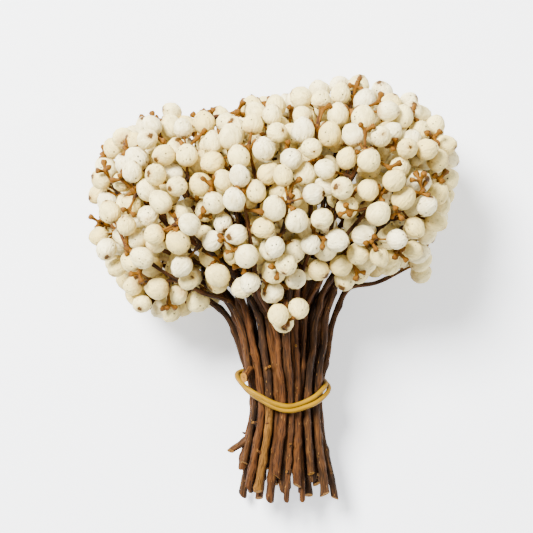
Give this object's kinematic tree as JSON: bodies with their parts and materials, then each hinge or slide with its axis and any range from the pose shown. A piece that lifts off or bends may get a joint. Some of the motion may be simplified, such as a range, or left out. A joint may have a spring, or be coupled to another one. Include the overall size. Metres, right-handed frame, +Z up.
{
  "type": "tallow berry sprig bunch",
  "caption": "Tied bunch of dried tallow-tree stems lying on its side, cut ends one way, with a dense rounded head of white waxy berries for dried-flower displays.",
  "frame": {"origin": "middle of the bunch's footprint, on the surface that it lies on", "axes": "+Y along the bunch, from the cut stem ends to the berries; +Z up, away from the surface; +X to the right when seen from above with the berries at the top"},
  "size_m": [0.1422, 0.1686, 0.0833],
  "materials": {
    "dried_sprig": "matt waxy white berries on brown bark; the colour is that of the berries, which cover most of each sprig",
    "band_rubber": "slightly dull, smooth"
  },
  "bodies": {
    "root": {"sprig_01": "dried_sprig", "sprig_02": "dried_sprig", "sprig_03": "dried_sprig", "sprig_04": "dried_sprig", "sprig_05": "dried_sprig", "sprig_06": "dried_sprig", "sprig_07": "dried_sprig", "sprig_08": "dried_sprig", "sprig_09": "dried_sprig", "sprig_10": "dried_sprig", "sprig_11": "dried_sprig", "sprig_12": "dried_sprig", "sprig_13": "dried_sprig", "sprig_14": "dried_sprig", "sprig_15": "dried_sprig", "sprig_16": "dried_sprig", "sprig_17": "dried_sprig", "sprig_18": "dried_sprig", "sprig_19": "dried_sprig", "sprig_20": "dried_sprig", "sprig_21": "dried_sprig", "sprig_22": "dried_sprig", "sprig_23": "dried_sprig", "sprig_24": "dried_sprig", "sprig_25": "dried_sprig", "sprig_26": "dried_sprig", "sprig_27": "dried_sprig", "sprig_28": "dried_sprig", "sprig_29": "dried_sprig", "sprig_30": "dried_sprig", "sprig_31": "dried_sprig", "sprig_32": "dried_sprig", "sprig_33": "dried_sprig", "sprig_34": "dried_sprig", "sprig_35": "dried_sprig", "sprig_36": "dried_sprig", "sprig_37": "dried_sprig", "sprig_38": "dried_sprig", "sprig_39": "dried_sprig", "sprig_40": "dried_sprig", "sprig_41": "dried_sprig", "sprig_42": "dried_sprig", "sprig_43": "dried_sprig", "sprig_44": "dried_sprig", "sprig_45": "dried_sprig", "sprig_46": "dried_sprig", "rubber_band": "band_rubber"}
  },
  "joints": []
}
